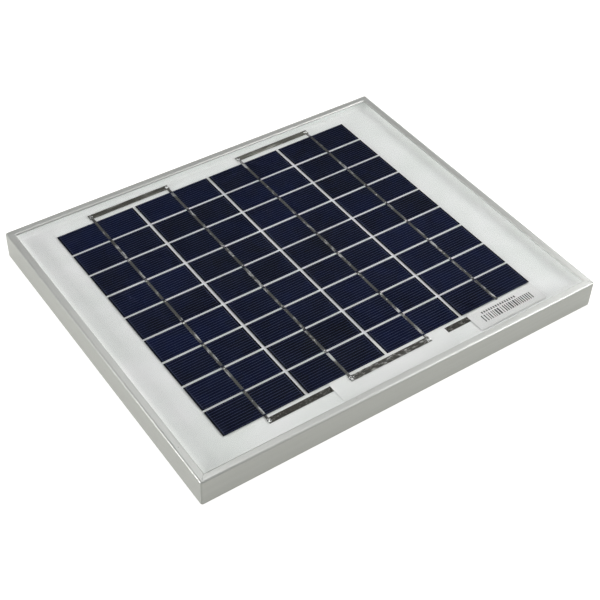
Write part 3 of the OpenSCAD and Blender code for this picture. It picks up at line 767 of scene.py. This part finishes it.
def build_tabs(index):
    """The tabs of a string: each lies on one cell, steps down in the gap and lies under the next."""
    bm = bmesh.new()
    draw = random.Random(900 + index)
    x = string_x(index)
    flow = 1 if index % 2 == 0 else -1
    front_z, back_z = CELL_TOP + TAB_T / 2, CELL_BOTTOM - TAB_T / 2
    gap = ROW_PITCH - CELL_L

    def run(y0, y1, z, shift):
        steps = max(2, int(abs(y1 - y0) / POINT_STEP))
        return [(y0 + (y1 - y0) * k / steps, z, shift + draw.uniform(-0.05, 0.05), draw.uniform(0.95, 1.04))
                for k in range(steps + 1)]

    def put(points):
        points = [(flow * y, z, s, f) for y, z, s, f in points]
        strip_path(bm, x, points if flow > 0 else list(reversed(points)))

    def drop(y, shift, radii, heights):
        dome(bm, (x + shift, y, TAB_TOP - DROP_SUNK), draw.uniform(*radii), draw.uniform(*heights),
             index=1, seed=draw.randrange(999))

    shifts = [draw.uniform(-0.18, 0.18) for _ in range(ROWS + 1)]
    for j in range(ROWS - 1):
        edge = row_y(j) + CELL_L / 2
        shift = shifts[j + 1]
        step = [(edge + gap * along, front_z + (back_z - front_z) * down, shift, w)
                for along, down, w in STEP_DOWN]
        put(run(row_y(j) - CELL_L / 2 + FRONT_INSET, edge - EDGE_CLEAR, front_z, shift) + step
            + run(edge + gap + EDGE_CLEAR, row_y(j + 1) + CELL_L / 2 - BACK_INSET, back_z, shift))
    start_gap, end_gap = (NEAR_GAP, FAR_GAP) if flow > 0 else (FAR_GAP, NEAR_GAP)
    first = row_y(0) - CELL_L / 2
    put(run(first - start_gap - BUS_W + BUS_MARGIN, row_y(0) + CELL_L / 2 - BACK_INSET, back_z, 0))
    last = row_y(ROWS - 1) + CELL_L / 2
    last_start = row_y(ROWS - 1) - CELL_L / 2 + FRONT_INSET
    end = last + end_gap + BUS_W - BUS_MARGIN
    if index < len(STRINGS) - 1:
        put(run(last_start, end, front_z, 0))
    else:
        # The last tab steps down to the exit ribbon, which lies under the strip
        deep = node_box("insulation_strip")[0].z + TAB_T / 2
        step = [(last + 0.5, front_z - 0.12, 0, 1.0), (last + 0.9, (front_z + deep) / 2, 0, 0.95),
                (last + 1.3, deep + 0.08, 0, 1.0)]
        put(run(last_start, last + EDGE_CLEAR, front_z, 0) + step + run(last + 1.6, end, deep, 0))
    for j in range(ROWS - 1):
        for side in (-1, 1):
            if draw.random() < 0.75:
                y = flow * (row_y(j) + ROW_PITCH / 2 + side * draw.uniform(0.6, 1.2))
                if side < 0:
                    drop(y, shifts[j + 1] + draw.uniform(-0.4, 0.4), (0.35, 0.75), (0.05, 0.1))
        for _ in range(draw.choice((0, 0, 1, 1, 2))):
            y = flow * (row_y(j) + draw.uniform(-7.5, 8.5))
            drop(y, shifts[j + 1] + draw.uniform(-0.3, 0.3), (0.3, 0.6), (0.04, 0.08))
    make(f"tabs_{index + 1}", bm, [TAB, SOLDER], "panel", "tinned_copper", f"tab_string_{index + 1}")


def build_cross_ribbon(node, left_string, y, seed, material):
    """A wide ribbon from one string to the next, slightly uneven, with rounded edges."""
    draw = random.Random(seed)
    bm = bmesh.new()
    middle = string_x(left_string) + STRING_PITCH / 2
    half = (STRING_PITCH + 2 * BUS_OVER) / 2
    rings, steps = [], 24
    thick = CELL_TOP - CELL_BOTTOM
    for k in range(steps + 1):
        x = middle - half + 2 * half * k / steps
        c = y + draw.uniform(-0.06, 0.06)
        z = (CELL_TOP + CELL_BOTTOM) / 2 + (draw.uniform(-0.02, 0.02) if 1 < k < steps - 1 else 0)
        w = BUS_W / 2 * draw.uniform(0.985, 1.01)
        flat = w * BUS_FLAT
        outline = ((w, -thick / 4), (w, thick / 4), (flat, thick / 2), (-flat, thick / 2),
                   (-w, thick / 4), (-w, -thick / 4), (-flat, -thick / 2), (flat, -thick / 2))
        rings.append([seated((x, c + across, z + up), BLOCK) for across, up in outline])
    loft(bm, rings)
    make(node + "_strip", bm, [material], "panel", "tinned_copper", node)


FAR_DROP_R, NEAR_DROP_R, DROP_H = 1.2, 1.7, 0.12
EXIT_DROP_R, EXIT_DROP_H = 1.3, 0.14
EXIT_STEP = 0.16  # from the cells' underside down to the right exit ribbon's tab


def build_ribbons():
    """Cross ribbons, exit ribbons and the solder drops that join them to the tabs."""
    far_y = BLOCK_L / 2 + FAR_GAP + BUS_W / 2
    near_y = -BLOCK_L / 2 - NEAR_GAP - BUS_W / 2
    # The far left ribbon gets the darker copy of the tin, painted shade, and the far right one the lighter
    # copy, painted light
    build_cross_ribbon("far_bus_left", 0, far_y, 11, RIBBON_PAINTED_SHADE)
    build_cross_ribbon("far_bus_right", 2, far_y, 12, RIBBON_PAINTED_LIGHT)
    build_cross_ribbon("near_bus", 1, near_y, 13, RIBBON)
    for side in ("left", "right"):
        refined("exit_ribbon_" + side, "tinned_copper", EXIT, 0.05, steps=2)
    bm = bmesh.new()
    # Where the drops sit: string, y, height of the metal below
    spots = [(0, far_y, TAB_TOP), (1, far_y, CELL_TOP), (2, far_y, TAB_TOP), (3, far_y, CELL_TOP),
             (1, near_y, TAB_TOP), (2, near_y, CELL_TOP), (3, near_y, CELL_BOTTOM - EXIT_STEP)]
    for k, (string, y, z) in enumerate(spots):
        radius = FAR_DROP_R if y > 0 else NEAR_DROP_R
        dome(bm, (string_x(string), y, z - DROP_SUNK), radius, DROP_H, seed=40 + k, wobble=0.35)
    dome(bm, (string_x(0), near_y, CELL_BOTTOM - DROP_SUNK), EXIT_DROP_R, EXIT_DROP_H, seed=60)
    make("solder_drops", bm, [SOLDER], "panel", "solder", "solder_joints")


# ---------------------------------------------------------------- strip and labels

STRIP_W, STRIP_PAST_LIP, STRIP_UNDER_CELLS = 80.0, 1.0, 13.0


def build_strip():
    """The white sheet between the exit ribbons and the near cross ribbon."""
    bm = bmesh.new()
    low, high = node_box("insulation_strip")
    near = -FRAME_L / 2 - BLOCK_Y + LIP_W + STRIP_PAST_LIP
    far = -BLOCK_L / 2 + STRIP_UNDER_CELLS
    slab(bm, (-STRIP_W / 2, near, low.z), (STRIP_W / 2, far, high.z), edge=0.03, corner=0.4, place_in=BLOCK)
    make("white_strip", bm, [STRIP], "panel", "insulation_film", "insulation_strip")


LABEL_W, LABEL_L, LABEL_GAP = 50.0, 14.6, 0.8
# Print on the code label, in from its right edge and from its far edge
BARS_X, BARS_Y = (5.6, 43.2), (5.4, 10.6)
MARKS, MARKS_X, MARKS_Y, MARK_PITCH, MARK_W = 15, 41.0, (2.9, 4.5), 1.75, 0.95
INK_T, INK_SUNK = 0.008, 0.005


def build_code_label():
    """A label with a plain pattern of bars and a row of blocks that say nothing."""
    bm = bmesh.new()
    low, high = node_box("code_label")
    right = string_x(3) + CELL_W / 2
    top = -BLOCK_L / 2 - LABEL_GAP
    slab(bm, (right - LABEL_W, top - LABEL_L, low.z), (right, top, high.z),
         edge=0.02, corner=0.6, place_in=BLOCK)

    def printed(x0, x1, band):
        slab(bm, (x0, top - band[1], high.z - INK_SUNK), (x1, top - band[0], high.z + INK_T),
             place_in=BLOCK, index=1)

    draw = random.Random(5)
    x, last = right - BARS_X[1], right - BARS_X[0]
    while x < last:
        w = draw.choice((0.55, 0.75, 0.75, 1.1))
        printed(x, min(x + w, last), BARS_Y)
        x += w + draw.choice((0.75, 0.9, 1.2))
    for k in range(MARKS):
        x = right - MARKS_X + MARK_PITCH * k
        printed(x, x + MARK_W, MARKS_Y)
    make("bar_label", bm, [LABEL, INK], "panel", "label_film", "code_label")


RULE_W, RULE_SUNK, BORDER_INSET = 0.35, 0.01, 2.5
TABLE_ROWS, FIRST_COLUMN = 6, 0.58


def build_rating_label():
    """A blank label with a printed border and empty rows, on the back."""
    bm = bmesh.new()
    low, high = node_box("rating_label")
    slab(bm, low, high, edge=0.02, corner=2.0)

    def printed(x0, y0, x1, y1):
        slab(bm, (x0, y0, low.z - INK_T), (x1, y1, low.z + RULE_SUNK), index=1)

    left, right = low.x + BORDER_INSET, high.x - BORDER_INSET
    near, far = low.y + BORDER_INSET, high.y - BORDER_INSET
    for k in range(TABLE_ROWS + 1):
        y = near + (far - near) * k / TABLE_ROWS
        printed(left, y - RULE_W / 2, right, y + RULE_W / 2)
    for x in (left, left + (right - left) * FIRST_COLUMN, right):
        printed(x - RULE_W / 2, near, x + RULE_W / 2, far)
    make("blank_label", bm, [RATING, INK], "panel", "rating_film", "rating_label")


# ---------------------------------------------------------------- junction box

def build_box():
    """The junction box with all that is in it; lid and gasket ride on the hinged body."""
    refined("jbox_adhesive", "seal_silicone", ADHESIVE, 0.12)
    refined("jbox_base", "box_plastic", PLASTIC, 0.25)
    refined("jbox_gasket", "black_rubber", RUBBER, 0.1, body="box_lid")
    refined("jbox_lid", "box_plastic", PLASTIC, 0.25, body="box_lid")
    refined("lid_hinge_pin", "pin_steel", STEEL, 0.15)
    for side in ("left", "right"):
        refined("terminal_" + side, "terminal_brass", BRASS, 0.15)
    refined("terminal_screws", "screw_zinc", ZINC, 0.15)
    refined("bypass_diode", "diode_epoxy", EPOXY, 0.12)
    refined("cable_grommet", "black_rubber", RUBBER, 0.2)


# ---------------------------------------------------------------- floor, lights and camera

FLOOR_HALF, FLOOR_BELOW = 3.0, 0.05 * MM
# What floor and surroundings give to the object, and what the camera sees of them
FLOOR_GLOW, WORLD_GLOW = rgb(0.33, 0.33, 0.31), rgb(0.02, 0.02, 0.02)
SEEN = rgb(0.88, 0.88, 0.88)
# Softboxes: name, place, width and height in metres, power in watts, seen in glossy surfaces or not
LIGHTS = [
    ("over", (-0.25, -0.25, 1.15), 0.8, 0.8, 4.0, True),
    ("over_back", (0.18, 0.33, 1.12), 0.4, 0.4, 1.8, True),
    ("far_back", (0.11, 0.76, 1.05), 0.2, 0.2, 0.7, True),
    ("over_right", (0.64, 0.14, 1.03), 0.45, 0.4, 2.3, True),
    ("right", (1.26, 0.45, 0.95), 0.35, 0.35, 3.5, True),
    ("front_right", (0.64, -0.68, 0.64), 0.35, 0.65, 4.3, True),
    ("near_right", (0.58, -0.62, 0.29), 0.15, 0.1, 1.2, True),
    ("back_left", (-1.05, 0.46, 0.40), 0.35, 0.25, 4.5, True),
    ("left_low", (-1.15, 0.0, 0.22), 0.6, 0.25, 5.4, False),
    ("far_right", (0.85, 0.95, 0.14), 0.7, 0.2, 3.2, True),
    ("back", (-0.20, 1.25, 0.35), 0.9, 0.4, 1.7, False),
    ("below", (0.10, -0.20, -0.90), 0.9, 0.9, 3.0, True),
]


def build_floor():
    """A pale floor that can be seen through from below."""
    mat, tree = new_material("floor_pale")
    mat.cycles.emission_sampling = "NONE"
    tone = noise(tree, place(tree), 3.0, 3.0)
    colour = blend(tree, spread(tree, tone, 0, 1), rgb(0.345, 0.345, 0.325), rgb(0.375, 0.375, 0.35))
    path = add_node(tree, "ShaderNodeLightPath")
    glow = blend(tree, path.outputs["Is Camera Ray"], FLOOR_GLOW, SEEN)
    paint = principled(tree, Base_Color=colour, Roughness=0.8, IOR=1.2,
                       Emission_Color=glow, Emission_Strength=1)
    clear = add_node(tree, "ShaderNodeBsdfTransparent").outputs[0]
    behind = add_node(tree, "ShaderNodeNewGeometry").outputs["Backfacing"]
    hidden = maths(tree, "MAXIMUM", behind, path.outputs["Is Shadow Ray"])
    output(tree, add_node(tree, "ShaderNodeMixShader", {0: hidden, 1: paint, 2: clear}).outputs[0])
    bm = bmesh.new()
    bmesh.ops.create_grid(bm, x_segments=8, y_segments=8, size=FLOOR_HALF)
    mesh = bpy.data.meshes.new("floor")
    bm.to_mesh(mesh)
    bm.free()
    mesh.materials.append(mat)
    floor = bpy.data.objects.new("floor", mesh)
    floor.location.z = -FLOOR_BELOW
    bpy.context.scene.collection.objects.link(floor)


def build_lights():
    """Softboxes that the camera doesn't see, and that leave no mirror image in the glass."""
    passed_over = bpy.data.collections.new("passed_over_by_lamps")
    passed_over.objects.link(bpy.data.objects["glass_pane"])
    passed_over.collection_objects[0].light_linking.link_state = "EXCLUDE"
    for name, at, width, height, power, in_gloss in LIGHTS:
        lamp = bpy.data.lights.new(name, "AREA")
        lamp.shape = "RECTANGLE"
        lamp.size, lamp.size_y = width, height
        lamp.energy = power
        obj = bpy.data.objects.new(name, lamp)
        obj.location = at
        obj.visible_camera = False
        obj.visible_glossy = in_gloss
        obj.light_linking.receiver_collection = passed_over
        obj.rotation_euler = (-Vector(at)).to_track_quat("-Z", "Y").to_euler()
        bpy.context.scene.collection.objects.link(obj)
    world = bpy.data.worlds.new("studio")
    world.use_nodes = True
    tree = world.node_tree
    seen = add_node(tree, "ShaderNodeLightPath").outputs["Is Camera Ray"]
    tree.links.new(blend(tree, seen, WORLD_GLOW, SEEN), tree.nodes["Background"].inputs["Color"])
    bpy.context.scene.world = world


EYE, TARGET = Vector((-0.3253, -0.4517, 0.5168)), Vector((-0.0079, -0.0162, 0.0))
ROLL = radians(2.227)
FOCAL_LENGTH, SENSOR_W = 75.48, 36


def build_camera():
    """The camera looks from near left, from above, and is turned a little about its own axis."""
    camera = bpy.data.cameras.new("camera")
    camera.lens, camera.sensor_width = FOCAL_LENGTH, SENSOR_W
    camera.clip_start, camera.clip_end = 0.01, 20
    obj = bpy.data.objects.new("camera", camera)
    obj.location = EYE
    turn = (TARGET - EYE).to_track_quat("-Z", "Y") @ Quaternion((0, 0, 1), ROLL)
    obj.rotation_euler = turn.to_euler()
    bpy.context.scene.collection.objects.link(obj)
    bpy.context.scene.camera = obj


def set_up():
    """Plain colours, and enough bounces for what lies under the glass."""
    scene = bpy.context.scene
    scene.view_settings.view_transform = "Standard"
    scene.view_settings.look = "None"
    scene.cycles.use_denoising = True
    scene.cycles.max_bounces = 10
    scene.cycles.transparent_max_bounces = 24
    scene.cycles.caustics_reflective = False
    scene.cycles.caustics_refractive = False


build_camera()
set_up()
build_floor()
build_frame()
build_glass()
build_lights()
build_films()
build_backsheet()
for i in range(len(STRINGS)):
    build_cells(i)
    build_tabs(i)
build_ribbons()
build_strip()
build_code_label()
build_rating_label()
build_box()
